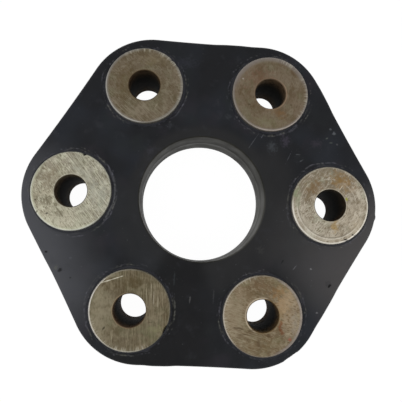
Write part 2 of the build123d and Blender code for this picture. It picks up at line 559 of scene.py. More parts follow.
def join_halves(upper, lower):
    """Turn the lower half over, and weld both at the parting plane."""
    bmesh.ops.scale(lower, vec=(1, 1, -1), verts=lower.verts)
    absorb(upper, lower)
    bmesh.ops.remove_doubles(upper, verts=upper.verts, dist=WELD)
    return upper


# Materials

def new_material(name):
    """An empty material: its node tree and its output node."""
    material = bpy.data.materials.new(name)
    material.use_nodes = True
    material.node_tree.nodes.clear()
    return material, material.node_tree, material.node_tree.nodes.new("ShaderNodeOutputMaterial")


def add(tree, kind, inputs=None, **settings):
    """Add a node, apply its settings, and set or link its inputs."""
    node = tree.nodes.new(kind)
    for name, value in settings.items():
        setattr(node, name, value)
    for key, value in (inputs or {}).items():
        if isinstance(value, bpy.types.NodeSocket):
            tree.links.new(value, node.inputs[key])
        else:
            node.inputs[key].default_value = value
    return node


def place_in_mm(tree, centre=(0, 0), turn=0.0, stretch=(1, 1, 1)):
    """Object coordinates in millimetres from an upright axis, turned about it, with stretched axes."""
    place = add(tree, "ShaderNodeTexCoord").outputs["Object"]
    return add(tree, "ShaderNodeMapping", {
        "Vector": place, "Location": (centre[0] * MM, centre[1] * MM, 0), "Rotation": (0, 0, turn),
        "Scale": [s * MM for s in stretch]}, vector_type="TEXTURE").outputs[0]


def cloud(tree, place, size, low, high, detail=3.0, seed=0.0):
    """Soft patches about size millimetres across, 0 where the noise is below low and 1 above high."""
    patches = add(tree, "ShaderNodeTexNoise", {
        "Vector": place, "W": seed, "Scale": 1 / size, "Detail": detail}, noise_dimensions="4D")
    return add(tree, "ShaderNodeMapRange", {
        0: patches.outputs[0], 1: low, 2: high}, interpolation_type="SMOOTHSTEP").outputs[0]


def apart(tree, value, middle):
    """How far a value lies from middle, on either side."""
    off = add(tree, "ShaderNodeMath", {0: value, 1: middle}, operation="SUBTRACT").outputs[0]
    return add(tree, "ShaderNodeMath", {0: off}, operation="ABSOLUTE").outputs[0]


def within(tree, value, low, high, soft):
    """1 where a value lies from low to high, fading to 0 over soft on either side."""
    half = (high - low) / 2
    return add(tree, "ShaderNodeMapRange", {
        0: apart(tree, value, low + half), 1: half + soft, 2: half},
        interpolation_type="SMOOTHSTEP").outputs[0]


def times(tree, *factors):
    """Product of several masks or strengths."""
    product = factors[0]
    for factor in factors[1:]:
        product = add(tree, "ShaderNodeMath", {0: product, 1: factor}, operation="MULTIPLY").outputs[0]
    return product


def lay(tree, colour, *layers):
    """A colour with others laid over it in turn, each through its own mask."""
    for mask, tint in layers:
        tint = linear(tint) if isinstance(tint, str) else tint
        colour = add(tree, "ShaderNodeMix", {0: mask, 6: colour, 7: tint}, data_type="RGBA").outputs[2]
    return colour


def from_axis(tree, place):
    """Distance from the upright axis of a set of coordinates, and the level direction away from it."""
    level = add(tree, "ShaderNodeVectorMath", {0: place, 1: (1, 1, 0)}, operation="MULTIPLY").outputs[0]
    distance = add(tree, "ShaderNodeVectorMath", {0: level}, operation="LENGTH").outputs["Value"]
    return distance, add(tree, "ShaderNodeVectorMath", {0: level}, operation="NORMALIZE").outputs[0]


def facing(tree, way, middle, half_angle, soft=25):
    """1 where a direction lies within half_angle of middle, fading over soft. All in degrees."""
    cosine = add(tree, "ShaderNodeVectorMath", {
        0: way, 1: polar(1, math.radians(middle))}, operation="DOT_PRODUCT").outputs["Value"]
    edge = math.cos(math.radians(half_angle))
    return within(tree, cosine, edge, FAR, edge - math.cos(math.radians(min(180, half_angle + soft))))


def arc(tree, colour, radius, way, streak):
    """Lay one curved streak round an axis over a colour: radius, half width, softness, middle and half angle,
    colour and strength."""
    at, half_width, soft, middle, half_angle, tint, strength = streak
    mask = times(tree, within(tree, radius, at - half_width, at + half_width, soft), strength)
    if half_angle < 180:
        mask = times(tree, mask, facing(tree, way, middle, half_angle))
    return lay(tree, colour, (mask, tint))


def mark(tree, colour, ragged, centre, spot):
    """Lay one stain, scratch or smudge over a colour: its place from centre, half length, half width, turn,
    colour and strength. Its edge is as ragged as a noise makes it."""
    x, y, long_way, across, turn, tint, strength = spot
    place = place_in_mm(tree, (centre[0] + x, centre[1] + y), math.radians(turn), (long_way, across, 1))
    spread, edge, soft = (3.6, 1.7, 1.7) if min(long_way, across) > 1 else (2.6, 1.8, 0.8)
    off = add(tree, "ShaderNodeMath", {
        0: ragged, 1: spread, 2: from_axis(tree, place)[0]}, operation="MULTIPLY_ADD").outputs[0]
    return lay(tree, colour, (times(tree, within(tree, off, -FAR, edge, soft), strength), tint))


# Marks on the disc's upper face, each as mark() takes it, in millimetres from the disc's axis
RUBBER_MARKS = [
    (22.7, 28.3, 4.2, 0.16, 58, "#55565b", 0.6), (27.0, 31.2, 1.2, 0.2, 60, "#5e5f66", 0.7),
    (44.5, -29.6, 1.3, 0.2, 53, "#5a5a5e", 0.7), (46.3, 20.7, 1.2, 0.3, 40, "#4c4e52", 0.6),
    (40.1, 21.9, 3.3, 0.16, 66, "#46474c", 0.6), (44.9, 23.7, 1.0, 0.3, 10, "#4b4d50", 0.7),
    (52.0, -30.0, 0.5, 0.4, 0, "#6b6b6d", 0.8), (55.3, -49.8, 0.5, 0.4, 0, "#6b6b6d", 0.8),
    (62.0, 35.1, 0.9, 0.8, 0, "#55585c", 0.8), (60.2, 37.0, 0.5, 0.5, 0, "#505256", 0.7),
    (58.5, 32.4, 0.7, 0.3, 30, "#50544f", 0.7), (60.2, 30.3, 0.9, 0.3, 10, "#474c48", 0.7),
    (63.5, 29.8, 0.5, 0.4, 0, "#4a4b4d", 0.7), (38.2, 29.9, 2.0, 2.6, 10, "#37333d", 0.8),
    (32.0, 26.6, 2.0, 2.6, 0, "#3b3e42", 0.7), (53.3, 29.6, 2.6, 1.8, 0, "#2f2b33", 0.7),
    (-3.3, -46.2, 1.6, 0.35, 90, "#4e4e4e", 0.6), (7.4, -44.4, 3.4, 0.3, 89, "#38383b", 0.5),
    (-10.9, -37.0, 3.4, 0.35, 90, "#303436", 0.5), (-69.2, -28.0, 0.6, 0.5, 0, "#060607", 0.9),
    (-62.3, -35.8, 1.2, 0.7, 25, "#09090a", 0.8), (-64.1, -34.9, 1.0, 0.8, 60, "#53544f", 0.6),
    (-58.1, -30.2, 0.6, 0.5, 0, "#4a4c52", 0.5), (-57.5, -39.0, 0.5, 0.4, 0, "#151516", 0.6),
    (-16.9, 33.7, 1.8, 1.2, 30, "#34363b", 0.5), (10.4, 39.9, 1.6, 1.2, 0, "#34373b", 0.5),
    (-25.1, 21.1, 2.2, 1.6, 45, "#34343b", 0.5), (49.1, -17.6, 1.8, 1.4, 0, "#3a3a3b", 0.5),
    (28.1, -22.4, 1.8, 1.4, 0, "#363635", 0.5), (38.5, -27.4, 1.2, 0.3, 60, "#08080a", 0.7),
    # On the next line the blister is greyer inside, with a dark crescent on its lower right that is painted shade of
    # its hollow
    (60.0, -36.4, 1.2, 1.2, 0, "#3c3d3f", 0.5), (61.0, -37.4, 1.1, 0.5, 45, "#060607", 0.9),
    (61.0, 62.0, 4.0, 2.0, -30, "#34363b", 0.5), (-12.0, 65.0, 6.0, 2.5, 5, "#2a2b33", 0.5),
    (-40.7, 0.0, 0.6, 4.6, 0, "#5c5d60", 0.6), (-42.5, 8.2, 0.6, 4.6, 25, "#55565a", 0.55),
    (-42.5, -8.2, 0.6, 4.6, -25, "#5c5d60", 0.6), (-47.3, 14.5, 0.5, 4.0, 49, "#4a4b4f", 0.5),
]


def moulded_rubber(sizes):
    """Moulded carbon-black rubber."""
    # To the eye it is near black with a faint blue, satin and slightly uneven, greyer round the hole, with a painted
    # sheen towards the lower left and lower right and painted shade at the bottom and the top, with pale scuffs
    # and torn flash, and dusty on the hole's wall.
    material, tree, output = new_material("moulded_black_rubber")
    place = place_in_mm(tree)
    height = add(tree, "ShaderNodeSeparateXYZ", {0: place}).outputs[2]
    to_axis, way = from_axis(tree, place)
    torn = add(tree, "ShaderNodeAttribute", attribute_name="torn").outputs["Fac"]
    sunk = add(tree, "ShaderNodeAttribute", attribute_name="sunk").outputs["Fac"]

    # Clean rubber with broad tints, then a greyer zone round the hole, then painted sheen towards the lower left and
    # lower right and painted shade at the bottom and the top, then smears and specks
    specks = cloud(tree, place, 0.7, 0.70, 0.80, 1, 17)
    colour = lay(
        tree, (*sizes.colour, 1),
        (cloud(tree, place, 24, 0.42, 0.66, 2, 1), "#1b1e24"),
        (times(tree, cloud(tree, place, 17, 0.50, 0.70, 2, 5), 0.7), "#1a1e1f"),
        (times(tree, cloud(tree, place, 13, 0.52, 0.72, 2, 9), 0.6), "#221f25"),
        (times(tree, within(tree, to_axis, 0, HOLE_RADIUS + 2.7, 4.5), 0.9), "#1e1e1f"),
        # Painted sheen of the lamps towards the lower left and lower right, near the hole
        (times(tree, within(tree, to_axis, 0, 39, 9), facing(tree, way, 206, 22, 22), 0.8), "#1f2022"),
        (times(tree, within(tree, to_axis, 0, 39, 9), facing(tree, way, 338, 50, 25), 0.8), "#1f1f20"),
        # Painted shade at the bottom and at the top, where no lamp is reflected
        (times(tree, facing(tree, way, 257, 9, 14), 0.9), "#09090b"),
        (times(tree, facing(tree, way, 90, 8, 25), within(tree, to_axis, 60, FAR, 20), 0.4), "#0b0c0f"),
        # Painted sheen of the lamps at the rim, towards the lower left and lower right
        (times(tree, facing(tree, way, 197, 10, 30), within(tree, to_axis, 78, FAR, 32), 0.95), "#47484c"),
        (times(tree, facing(tree, way, 343, 6, 24), within(tree, to_axis, 80, FAR, 55), 0.95), "#454343"),
        (times(tree, cloud(tree, place, 5, 0.56, 0.80, 5, 13), 0.4), "#303136"),
        (times(tree, specks, cloud(tree, place, 9, 0.5, 0.65, 2, 21), 0.6), "#5c5c60"))

    # Knocks, scratches and smudges of the upper face
    ragged = add(tree, "ShaderNodeTexNoise", {"Vector": place, "Scale": 1 / 1.1, "Detail": 3.0}).outputs[0]
    marked = colour
    for spot in RUBBER_MARKS:
        marked = mark(tree, marked, ragged, (0, 0), spot)

    # The mould's ring is painted a little greyer than the face, as painted light that lifts the shade that the proud
    # bush casts into it, and torn flash is paler where it was stretched. The hole's wall has thin grey-brown dust,
    # with a painted sheen on its side round 328 degrees, and the seam showing darker.
    pale = lay(tree, linear("#585860"), (cloud(tree, place, 6, 0.45, 0.6, 2, 25), "#64645d"))
    soft = cloud(tree, place_in_mm(tree, stretch=(6, 6, 9)), 1, 0.35, 0.75, 2, 29)
    # The wall's dust, painted lighter round 328 degrees as a sheen of the light
    wall_dust_and_sheen = lay(tree, linear("#1f1e19"), (soft, "#282720"), (facing(tree, way, 328, 24, 25), "#464541"))
    wall = times(
        tree, within(tree, to_axis, 0, HOLE_RADIUS + 0.5, 0.5), within(tree, height, 0, WALL_TOP, 0.6))
    colour = lay(
        tree, colour,
        (within(tree, height, UPPER_FACE, FAR, 1), marked),
        # Painted light: the sunk ring is lightened to lift the shade of the bush
        (times(tree, sunk, 0.85), "#323338"),
        (times(tree, torn, within(tree, ragged, 0.55, FAR, 0.25)), pale),
        (wall, wall_dust_and_sheen),
        (times(tree, within(tree, height, BUSH_HALF - 0.2, BUSH_HALF + 0.2, 0.3), wall, 0.1), "#121210"))

    # The grain of the mould is drawn coarser than real, because it would be too fine to show
    grain = add(tree, "ShaderNodeTexNoise", {"Vector": place, "Scale": 1 / 0.6, "Detail": 4.0})
    swell = add(tree, "ShaderNodeTexNoise", {"Vector": place, "Scale": 1 / 12, "Detail": 2.0})
    relief = add(tree, "ShaderNodeBump", {
        "Height": swell.outputs[0], "Strength": 0.4, "Distance": 0.6 * MM}).outputs[0]
    relief = add(tree, "ShaderNodeBump", {
        "Height": grain.outputs[0], "Strength": 0.35, "Distance": 0.05 * MM, "Normal": relief}).outputs[0]
    roughness = add(tree, "ShaderNodeMapRange", {
        0: cloud(tree, place, 7, 0.3, 0.75, 4, 33), 3: 0.50, 4: 0.66}).outputs[0]
    shader = add(tree, "ShaderNodeBsdfPrincipled", {
        "Base Color": colour, "Roughness": roughness, "Normal": relief, "IOR": 1.5,
        "Specular IOR Level": 0.15}).outputs[0]
    tree.links.new(shader, output.inputs[0])
    return material


class BushFinish:
    """How one bush looks. Angles are in degrees and places in millimetres from its axis.

    tone, dark, light and green are the colours of its face and of the patches on it, and mouth is that of
    the bore's mouths. speckle and turned say how strong the specks and the lathe's marks are, from 0 to 1.
    lie is the way that the grinding marks run. grind, ticks and rust are the middle and half angle of where
    they show. A zone has a middle and half angle, a colour and a strength. arcs, marks and dents hold what
    arc(), mark() and dent_rim() take; the bright arcs along one side of a rim are painted highlights.
    """

    def __init__(self, tone, dark, light, green, speckle, lie, grind=None, turned=0.0, dents=(), zones=(),
                 arcs=(), marks=(), ticks=None, rust=(180, 60), mouth="#2c261e"):
        self.tone = tone
        self.dark = dark
        self.light = light
        self.green = green
        self.speckle = speckle
        self.lie = lie
        self.grind = grind
        self.turned = turned
        self.dents = dents
        self.zones = zones
        self.arcs = arcs
        self.marks = marks
        self.ticks = ticks
        self.rust = rust
        self.mouth = mouth


# In the order of the bushes, anticlockwise from the one on +X
# The bright arcs along one side of a bush's rim are painted highlights of the lamps
FINISHES = [
    BushFinish(
        "#8e8576", "#6a5f4d", "#b3ab9c", "#888b77", 0.85, 50, turned=0.45,
        dents=[(-62.8, 0.2, 0.7), (-48.8, 0.15, 0.5)], rust=(300, 60),
        zones=[(115, 45, "#675d4b", 0.6), (325, 40, "#ada390", 0.4), (235, 30, "#aca596", 0.5)],
        arcs=[(15.2, 0.15, 0.3, 255, 62, "#746d60", 0.6), (15.8, 0.1, 0.3, 255, 62, "#c4beb1", 0.5),
              (18.0, 0.2, 0.35, 0, 180, "#a09b8e", 0.5),
              (17.9, 0.2, 0.5, 262, 70, "#cfcac0", 0.75), (17.9, 0.2, 0.4, 345, 25, "#cac5b9", 0.8),
              (7.7, 0.1, 0.3, 0, 180, "#aca493", 0.5)],
        marks=[(5.2, 11.6, 5.0, 3.5, -25, "#795f38", 0.85), (-8.2, 8.2, 4.2, 3.1, 40, "#6c563a", 0.8),
               (2.3, -10.0, 1.5, 2.4, 0, "#8d7340", 0.8), (-15.3, 2.5, 1.6, 5.0, 0, "#848971", 0.55),
               (7.7, 3.3, 0.6, 0.9, 20, "#888834", 0.8), (10.5, 8.0, 2.4, 1.8, 20, "#796549", 0.5),
               (7.3, -15.6, 1.1, 0.35, 12, "#1a1716", 0.95), (10.8, -13.2, 0.5, 0.4, 40, "#282420", 0.9),
               (4.9, 8.3, 1.6, 0.16, 58, "#c2bbab", 0.7), (-5.8, -7.9, 1.4, 0.16, 60, "#c2bbab", 0.7),
               (12.5, -9.0, 3.0, 2.0, 40, "#958973", 0.5), (-11.5, -9.0, 3.5, 2.2, -50, "#a19989", 0.5),
               (-9.6, -13.4, 3.0, 1.6, -40, "#bdb8aa", 0.6),
               (-11.0, 3.0, 3.2, 1.4, 70, "#66573f", 0.5), (-4.5, 14.2, 3.4, 1.2, 12, "#756a55", 0.5),
               (13.6, 5.6, 3.0, 0.9, -65, "#b3ab9a", 0.5), (-16.6, 4.6, 2.6, 0.7, 80, "#7c8468", 0.6)]),
    BushFinish(
        "#695c4c", "#4f402a", "#766d5d", "#5f5d46", 0.4, 80, turned=0.25, rust=(20, 60),
        mouth="#564838", ticks=(20, 45),
        arcs=[(17.4, 0.6, 1.4, 95, 60, "#7a7470", 0.5), (17.8, 0.3, 0.7, 0, 180, "#7b7572", 0.5),
              (18.0, 0.15, 0.3, 0, 180, "#8b857e", 0.5), (18.0, 0.15, 0.3, 285, 22, "#b0a59d", 0.6),
              (7.8, 0.15, 0.35, 330, 60, "#836f5b", 0.8), (7.6, 0.1, 0.3, 0, 180, "#736150", 0.6)],
        marks=[(-6.5, 7.0, 6.5, 4.5, 20, "#6b5041", 0.45), (4.8, -9.5, 3.4, 2.0, -20, "#705538", 0.5),
               (-1.0, -14.0, 7.0, 2.6, 0, "#6a664d", 0.5), (-13.5, 6.5, 0.6, 0.5, 0, "#a8a198", 0.6),
               (-10.0, -6.0, 0.6, 0.4, 0, "#3e3323", 0.6), (10.0, -5.0, 0.6, 0.4, 0, "#453824", 0.6)]),
    BushFinish(
        "#665b4b", "#4c402a", "#817968", "#63614b", 0.55, -40, grind=(250, 35),
        mouth="#3c3022", ticks=(50, 60), dents=[(47, 0.35, 0.6), (36, 0.2, 0.5)],
        arcs=[(17.7, 0.3, 0.8, 180, 70, "#7d7a75", 0.5), (17.7, 0.3, 0.8, 0, 60, "#807e78", 0.5),
              (18.0, 0.15, 0.3, 0, 180, "#8a8780", 0.5), (18.0, 0.2, 0.35, 215, 40, "#a2a09b", 0.7),
              (7.6, 0.1, 0.3, 0, 180, "#625540", 0.6)],
        marks=[(-9.0, 1.0, 4.0, 7.0, 0, "#56482f", 0.5), (3.0, 12.5, 5.0, 2.6, 0, "#71664f", 0.5),
               (-3.0, -12.5, 6.5, 3.2, 15, "#7d7463", 0.6), (8.0, -6.0, 4.0, 5.0, 0, "#696350", 0.4),
               (0.5, -17.4, 0.9, 0.3, 10, "#29241c", 0.7), (6.0, -9.8, 1.2, 0.3, 60, "#8b8270", 0.5)]),
    BushFinish(
        "#928e80", "#696351", "#bcbaa6", "#92957e", 0.9, -50, grind=(20, 90), rust=(190, 60),
        mouth="#453e30", dents=[(74.4, 0.7, 0.75)],
        zones=[(150, 35, "#7c7261", 0.45), (228, 35, "#a39c84", 0.4)],
        arcs=[(17.6, 0.3, 0.8, 225, 70, "#a8a993", 0.6), (18.0, 0.2, 0.35, 235, 65, "#c5c6bd", 0.8),
              (18.0, 0.15, 0.3, 0, 180, "#9e9e93", 0.5), (7.7, 0.1, 0.3, 0, 180, "#a6a293", 0.5)],
        marks=[(-9.5, 6.5, 6.0, 4.0, 45, "#7c725e", 0.55), (-2.0, -12.5, 8.0, 3.0, 10, "#a9a593", 0.45),
               (14.0, -2.0, 2.4, 6.0, 0, "#949689", 0.5), (-9.8, -10.8, 0.7, 0.5, 30, "#373429", 0.8),
               (4.5, 8.6, 5.6, 2.0, -35, "#9b9a8c", 0.6), (9.8, 1.5, 1.6, 4.6, 0, "#96968a", 0.5),
               (-15.4, -5.0, 0.5, 0.5, 0, "#37342a", 0.8), (-4.6, -9.4, 3.6, 0.4, -50, "#615b49", 0.7),
               (-9.5, -5.5, 3.6, 0.4, -48, "#676150", 0.7), (7.5, -13.0, 4.0, 1.6, 25, "#a4a190", 0.5),
               (-14.3, -10.3, 0.6, 0.4, 60, "#454033", 0.7), (2.5, 15.8, 5.0, 1.2, 0, "#848172", 0.5)]),
    BushFinish(
        "#5d5443", "#4b412d", "#7b725e", "#5b5a45", 0.5, -87, grind=(10, 90), rust=(200, 60),
        mouth="#483a2c", ticks=(248, 38), dents=[(-25.2, 0.6, 1.9)],
        zones=[(190, 20, "#807965", 0.55), (90, 15, "#453c2a", 0.45)],
        arcs=[(18.0, 0.15, 0.3, 0, 180, "#6d6a5f", 0.5), (18.0, 0.3, 0.35, 178, 38, "#c5c1bb", 0.9),
              (17.9, 0.15, 0.35, 235, 40, "#a29e93", 0.6), (18.0, 0.15, 0.3, 120, 20, "#969083", 0.6),
              (7.7, 0.1, 0.3, 190, 70, "#7e6e57", 0.7), (7.6, 0.1, 0.3, 270, 40, "#5c4433", 0.5)],
        marks=[(-13.0, -1.0, 3.6, 9.0, 0, "#776f5c", 0.6), (0.5, 12.5, 5.0, 3.4, 0, "#4a402a", 0.6),
               (10.0, -9.5, 5.5, 4.0, -30, "#5b5c45", 0.5),
               (-8.65, 13.2, 4.6, 0.22, 20, "#b0ab9b", 0.95), (-9.5, 14.6, 3.0, 0.9, 22, "#7d7663", 0.6),
               (9.2, 8.0, 4.2, 0.2, 92, "#918975", 0.7),
               (7.2, 7.0, 5.0, 0.16, 94, "#89826e", 0.5), (-7.5, -12.0, 4.0, 0.18, 88, "#807964", 0.5),
               (-10.8, -8.2, 0.9, 0.35, 60, "#332d20", 0.8), (9.0, -5.0, 1.2, 0.2, 10, "#413a2a", 0.6),
               (2.6, 12.0, 2.6, 2.0, 0, "#453a25", 0.6), (-6.9, -12.3, 3.4, 0.18, 89, "#89826d", 0.7),
               (12.0, -7.8, 3.4, 1.4, 10, "#747055", 0.6), (-13.8, 6.6, 3.0, 1.2, 65, "#7d7661", 0.5),
               (10.4, 6.0, 3.6, 0.2, 90, "#989180", 0.7), (12.4, 4.4, 3.0, 0.2, 91, "#918a77", 0.6)]),
    BushFinish(
        "#716552", "#5a4a33", "#8b816c", "#67644b", 0.75, -15, grind=(220, 40), turned=0.15,
        ticks=(160, 45), rust=(40, 60), mouth="#54432c",
        zones=[(165, 22, "#8d7e69", 0.6), (15, 18, "#8d7d68", 0.6), (270, 38, "#4f402d", 0.5),
               (92, 8, "#4f412e", 0.45)],
        arcs=[(17.7, 0.3, 0.8, 0, 55, "#837d7d", 0.5), (18.0, 0.15, 0.3, 0, 180, "#857e76", 0.5),
              (18.0, 0.2, 0.35, 165, 45, "#b4ada2", 0.6), (7.8, 0.2, 0.4, 160, 70, "#aba08e", 0.7),
              (7.6, 0.1, 0.3, 0, 180, "#7b694c", 0.5)],
        marks=[(-12.5, 1.5, 4.0, 8.0, 0, "#837763", 0.55), (9.0, 5.0, 2.8, 6.4, -15, "#7e603d", 0.6),
               (6.5, 11.0, 3.3, 2.2, 40, "#7b5d3a", 0.6), (10.5, 6.5, 2.4, 5.0, -20, "#9a8a70", 0.5),
               (0.0, 13.5, 5.5, 2.6, 0, "#624e38", 0.55), (-1.0, -13.0, 8.0, 3.4, 0, "#604f37", 0.5),
               (8.4, -5.8, 2.2, 1.1, 100, "#5f371d", 0.8), (7.9, -3.6, 1.4, 0.8, 80, "#6b442a", 0.6),
               (12.7, -9.9, 0.9, 0.9, 0, "#855043", 0.6), (-8.5, -8.5, 2.6, 0.22, 5, "#483b29", 0.6),
               (-9.5, -6.5, 2.0, 0.2, 12, "#50432d", 0.5), (-12.0, -9.5, 2.4, 0.2, 0, "#827662", 0.5),
               (-11.0, -5.8, 2.2, 0.5, -4, "#4e4130", 0.7), (-5.2, -6.6, 1.5, 0.5, 0, "#4c3e2b", 0.6),
               (-1.4, -12.6, 0.9, 1.9, 10, "#4e3f2c", 0.65), (2.8, -8.6, 0.8, 0.8, 0, "#463725", 0.6),
               (14.6, -3.0, 1.6, 6.0, 0, "#7b7468", 0.5), (-3.0, 9.6, 2.6, 0.5, -12, "#544631", 0.5)]),
]


def ground_steel(number):
    """Ground mild steel that has lain about."""
    # To the eye it is dull and brown-grey, stained in patches and specked, streaked the way the wheel or the
    # lathe cut it, and bright only along its rim and in scratches, where handling keeps the metal bare. The
    # brightest arcs, on one side of each rim, are painted highlights.
    finish = FINISHES[number]
    centre = polar(BUSH_CENTRE, number * PITCH)
    material, tree, output = new_material(f"ground_stained_steel_{number + 1}")
    place = place_in_mm(tree, centre)
    radius, way = from_axis(tree, place)
    height = add(tree, "ShaderNodeSeparateXYZ", {0: place}).outputs[2]
    seed = 10.0 * number

    # Zones of another tone on given sides, blotches and a thin green film, then specks. The specks are drawn
    # coarser than real grit, which would be too fine to show.
    zones = [(times(tree, facing(tree, way, middle, half, 40), strength), tint)
             for middle, half, tint, strength in finish.zones]
    with_lie = place_in_mm(tree, centre, math.radians(finish.lie), (1.4, 0.5, 1))
    dark_specks = cloud(tree, with_lie, 1, 0.51, 0.62, 3, seed + 3)
    light_specks = cloud(tree, with_lie, 0.9, 0.54, 0.64, 3, seed + 4)
    colour = lay(
        tree, linear(finish.tone), *zones,
        (times(tree, cloud(tree, place, 6, 0.42, 0.66, 4, seed), 0.65), finish.dark),
        (times(tree, cloud(tree, place, 5, 0.46, 0.70, 3, seed + 1), 0.5), finish.green),
        (times(tree, cloud(tree, place, 2.6, 0.48, 0.70, 3, seed + 2), 0.55), finish.light),
        (times(tree, dark_specks, finish.speckle), finish.dark),
        (times(tree, light_specks, finish.speckle * 0.6), finish.light))

    # Marks of the grinding wheel or of the lathe
    marks = None
    if finish.grind:
        along = place_in_mm(tree, centre, math.radians(finish.lie), (7, 0.34, 8))
        part = facing(tree, way, *finish.grind, 40)
        marks = times(tree, cloud(tree, along, 1, 0.51, 0.60, 2, seed + 5), part)
        furrows = times(tree, cloud(tree, along, 1, 0.52, 0.62, 2, seed + 9), part, 0.45)
        colour = lay(tree, colour, (furrows, finish.dark), (times(tree, marks, 0.5), finish.light))
    if finish.turned:
        rings = add(tree, "ShaderNodeTexNoise", {
            "W": times(tree, radius, 1.1), "Scale": 1.0, "Detail": 3.0}, noise_dimensions="1D").outputs[0]
        broken = cloud(tree, place, 7, 0.40, 0.62, 2, seed + 6)
        marks = times(tree, within(tree, rings, 0.66, FAR, 0.18), broken)
        colour = lay(tree, colour, (times(tree, marks, finish.turned), finish.light))

    # Rims, grooves and worn zones, with painted highlights along one side of the rims, and short radial ticks where
    # the rim was handled most
    for streak in finish.arcs:
        colour = arc(tree, colour, radius, way, streak)
    if finish.ticks:
        ticks = cloud(tree, way, 0.035, 0.50, 0.62, 2, seed + 7)
        near_rim = within(tree, radius, BUSH_RADIUS - 0.9, FAR, 1.7)
        ticks = times(tree, ticks, facing(tree, way, *finish.ticks), near_rim, 0.4)
        colour = lay(tree, colour, (ticks, "#b0ab9c"))

    # Stains, chips and scratches of the upper face, and the duller skin of the flange's side
    ragged = add(tree, "ShaderNodeTexNoise", {"Vector": place, "Scale": 1 / 1.6, "Detail": 5.0}).outputs[0]
    marked = colour
    for spot in finish.marks:
        marked = mark(tree, marked, ragged, centre, spot)
    side = within(tree, radius, BUSH_RADIUS - 0.02, FAR, 0.05)
    colour = lay(
        tree, colour,
        (within(tree, height, UPPER_FACE, FAR, 1), marked),
        (times(tree, side, 0.8), "#4a463f"))
    metal = add(tree, "ShaderNodeMapRange", {0: side, 3: 0.9, 4: 0.2}).outputs[0]

    grit = add(tree, "ShaderNodeTexNoise", {"Vector": place, "Scale": 1 / 0.5, "Detail": 3.0}).outputs[0]
    relief = add(tree, "ShaderNodeBump", {"Height": grit, "Strength": 0.35, "Distance": 0.03 * MM}).outputs[0]
    if marks:
        relief = add(tree, "ShaderNodeBump", {
            "Height": marks, "Strength": 0.4, "Distance": 0.03 * MM, "Normal": relief}).outputs[0]
    roughness = add(tree, "ShaderNodeMapRange", {
        0: cloud(tree, place, 3, 0.35, 0.7, 3, seed + 8), 3: 0.42, 4: 0.60}).outputs[0]
    shader = add(tree, "ShaderNodeBsdfPrincipled", {
        "Base Color": colour, "Metallic": metal, "Roughness": roughness, "Normal": relief}).outputs[0]
    tree.links.new(shader, output.inputs[0])
    return material


def bore_with_painted_shade(number):
    """Drilled bore of the same steel, painted black inside as shade of its depth."""
    # To the eye it is black and dull deep down, which is painted shade of the bore's depth, olive-brown towards its
    # mouths, and rusty on one side there.
    finish = FINISHES[number]
    centre = polar(BUSH_CENTRE, number * PITCH)
    material, tree, output = new_material(f"drilled_steel_with_painted_shade_{number + 1}")
    place = place_in_mm(tree, centre)
    way = from_axis(tree, place)[1]
    height = add(tree, "ShaderNodeSeparateXYZ", {0: place}).outputs[2]
    off_middle = apart(tree, height, BUSH_HALF)
    mouth = within(tree, off_middle, BUSH_HALF - 1, FAR, 9)
    rusty = times(tree, mouth, facing(tree, way, *finish.rust, 40), cloud(tree, place, 3.0, 0.30, 0.62))
    # Painted shade: black all through, lighter brown only towards each mouth
    colour = lay(
        tree, linear("#090806"),
        (times(tree, cloud(tree, place, 4, 0.4, 0.7), 0.6), "#1a1710"),
        (times(tree, mouth, cloud(tree, place, 2.5, 0.25, 0.6), 0.8), finish.mouth),
        (times(tree, rusty, 0.35), "#3d2815"),
        (within(tree, off_middle, BUSH_HALF - 0.3, FAR, 0.2), finish.mouth))
    grit = add(tree, "ShaderNodeTexNoise", {"Vector": place, "Scale": 1 / 0.6, "Detail": 3.0}).outputs[0]
    relief = add(tree, "ShaderNodeBump", {"Height": grit, "Strength": 0.4, "Distance": 0.05 * MM}).outputs[0]
    shader = add(tree, "ShaderNodeBsdfPrincipled", {
        "Base Color": colour, "Roughness": 0.8, "Normal": relief, "Specular IOR Level": 0.05}).outputs[0]
    tree.links.new(shader, output.inputs[0])
    return material


def wound_cord():
    """Twisted polyester cord, dipped in bonding resin and wound side by side."""
    # To the eye it is tan and matt, in bands as high as one cord, with a little fuzz. The cords are drawn
    # thicker than real ones, which would be too fine to show.
    material, tree, output = new_material("wound_polyester_cord")
    place = place_in_mm(tree)
    turns = add(tree, "ShaderNodeTexWave", {
        "Vector": place, "Scale": 0.25, "Distortion": 0.6, "Detail": 2.0}, bands_direction="Z").outputs["Fac"]
    fuzz = times(tree, cloud(tree, place, 0.8, 0.35, 0.7, 4), 0.4)
    colour = lay(tree, linear("#8c7a55"), (turns, "#c9b78d"), (fuzz, "#6e5d3e"))
    relief = add(tree, "ShaderNodeBump", {"Height": turns, "Strength": 0.8, "Distance": 0.3 * MM}).outputs[0]
    shader = add(tree, "ShaderNodeBsdfPrincipled", {
        "Base Color": colour, "Roughness": 0.8, "Normal": relief, "Sheen Weight": 0.2}).outputs[0]
    tree.links.new(shader, output.inputs[0])
    return material


def sees_background(tree):
    """1 for rays from the camera, gloss and glass, which see a white background, and 0 for all others."""
    path = add(tree, "ShaderNodeLightPath").outputs
    seen = path["Is Camera Ray"]
    for other in ("Is Glossy Ray", "Is Transmission Ray"):
        seen = add(tree, "ShaderNodeMath", {0: seen, 1: path[other]}, operation="MAXIMUM").outputs[0]
    return seen


